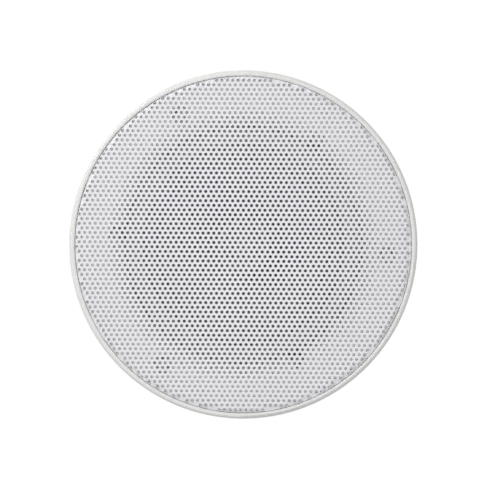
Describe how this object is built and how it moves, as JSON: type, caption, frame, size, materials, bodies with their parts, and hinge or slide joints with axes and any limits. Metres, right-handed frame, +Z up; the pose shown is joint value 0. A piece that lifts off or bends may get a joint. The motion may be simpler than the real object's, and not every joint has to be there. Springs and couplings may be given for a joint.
{
  "type": "in-ceiling speaker",
  "caption": "Round white flush-mount ceiling loudspeaker: perforated grille in a slim rim, coaxial woofer and tweeter, swing-out clamp dogs, crossover board and spring wire terminals.",
  "frame": {"origin": "centre of the neck, in the plane of the flange's rear face that lies against the ceiling board", "axes": "+Z up along the speaker's axis into the ceiling; the grille faces -Z"},
  "size_m": [0.23, 0.23, 0.091],
  "materials": {
    "white_moulding": "satin",
    "white_painted_steel": "satin",
    "zinc_plated_steel": "satin",
    "black_nylon": "matte",
    "phosphated_steel": "matte",
    "black_pressed_steel": "satin",
    "foam_gasket": "matte",
    "rubber_surround": "matte",
    "cone_polymer": "satin",
    "former_foil": "satin",
    "copper_winding": "gloss",
    "spider_cloth": "matte",
    "ferrite": "matte",
    "tweeter_plastic": "satin",
    "dome_silk": "matte",
    "board_laminate": "satin",
    "capacitor_sleeve": "gloss",
    "bobbin_plastic": "satin",
    "cement": "matte",
    "red_plastic": "gloss",
    "black_plastic": "gloss",
    "phenolic_tab": "matte",
    "tinned_brass": "satin"
  },
  "bodies": {
    "frame": {"frame": "white_moulding", "grille": "white_painted_steel", "basket": "black_pressed_steel", "woofer_screws": "phosphated_steel", "gasket": "foam_gasket", "surround": "rubber_surround", "spider": "spider_cloth", "front_plate": "zinc_plated_steel", "magnet": "ferrite", "back_plate": "zinc_plated_steel", "tweeter_post": "zinc_plated_steel", "post_nut": "zinc_plated_steel", "tweeter_housing": "tweeter_plastic", "tweeter_pot": "zinc_plated_steel", "tweeter_magnet": "ferrite", "tweeter_pole_disc": "zinc_plated_steel", "tweeter_surround": "dome_silk", "tweeter_face": "tweeter_plastic", "crossover_board": "board_laminate", "board_screws": "zinc_plated_steel", "capacitor": "capacitor_sleeve", "inductor_bobbin": "bobbin_plastic", "inductor_winding": "copper_winding", "resistor": "cement", "terminal_block": "black_plastic", "lever_spring_red": "zinc_plated_steel", "lever_spring_black": "zinc_plated_steel", "solder_tab": "phenolic_tab", "solder_lugs": "tinned_brass"},
    "cone_unit": {"cone": "cone_polymer", "coil_former": "former_foil", "voice_coil": "copper_winding"},
    "dome_unit": {"tweeter_dome": "dome_silk", "tweeter_coil": "copper_winding"},
    "lever_red": {"lever_red": "red_plastic"},
    "lever_black": {"lever_black": "black_plastic"},
    "clamp_1": {"clamp_screw_1": "phosphated_steel"},
    "dog_1": {"dog_leg_1": "black_nylon"},
    "clamp_2": {"clamp_screw_2": "phosphated_steel"},
    "dog_2": {"dog_leg_2": "black_nylon"},
    "clamp_3": {"clamp_screw_3": "phosphated_steel"},
    "dog_3": {"dog_leg_3": "black_nylon"}
  },
  "joints": [
    {"name": "cone_travel", "type": "slide", "parent": "frame", "child": "cone_unit", "axis": [0, 0, 1], "range_m": [-0.004, 0.004], "stiffness_N_per_m": 1200, "springref_m": 0.00015, "deforming": ["surround", "spider"]},
    {"name": "dome_travel", "type": "slide", "parent": "frame", "child": "dome_unit", "axis": [0, 0, 1], "range_m": [-0.0003, 0.0003], "stiffness_N_per_m": 2000, "deforming": ["tweeter_surround"]},
    {"name": "clamp_1_turn", "type": "hinge", "parent": "frame", "child": "clamp_1", "pos_m": [0.09527, 0.00666, 0.03], "axis": [0, 0, 1], "range_deg": [0, 105]},
    {"name": "dog_1_slide", "type": "slide", "parent": "clamp_1", "child": "dog_1", "axis": [0, 0, -1], "range_m": [0, 0.028]},
    {"name": "clamp_2_turn", "type": "hinge", "parent": "frame", "child": "clamp_2", "pos_m": [-0.0534, 0.07917, 0.03], "axis": [0, 0, 1], "range_deg": [0, 105]},
    {"name": "dog_2_slide", "type": "slide", "parent": "clamp_2", "child": "dog_2", "axis": [0, 0, -1], "range_m": [0, 0.028]},
    {"name": "clamp_3_turn", "type": "hinge", "parent": "frame", "child": "clamp_3", "pos_m": [-0.04186, -0.08583, 0.03], "axis": [0, 0, 1], "range_deg": [0, 105]},
    {"name": "dog_3_slide", "type": "slide", "parent": "clamp_3", "child": "dog_3", "axis": [0, 0, -1], "range_m": [0, 0.028]},
    {"name": "lever_red_press", "type": "hinge", "parent": "frame", "child": "lever_red", "pos_m": [0.03537, -0.07927, 0.0346], "axis": [0.829, 0.5592, 0], "range_deg": [0, 16], "stiffness_Nm_per_rad": 0.15, "springref_deg": -8.59, "deforming": ["lever_spring_red"]},
    {"name": "lever_black_press", "type": "hinge", "parent": "frame", "child": "lever_black", "pos_m": [0.04698, -0.07144, 0.0346], "axis": [0.829, 0.5592, 0], "range_deg": [0, 16], "stiffness_Nm_per_rad": 0.15, "springref_deg": -8.59, "deforming": ["lever_spring_black"]}
  ]
}
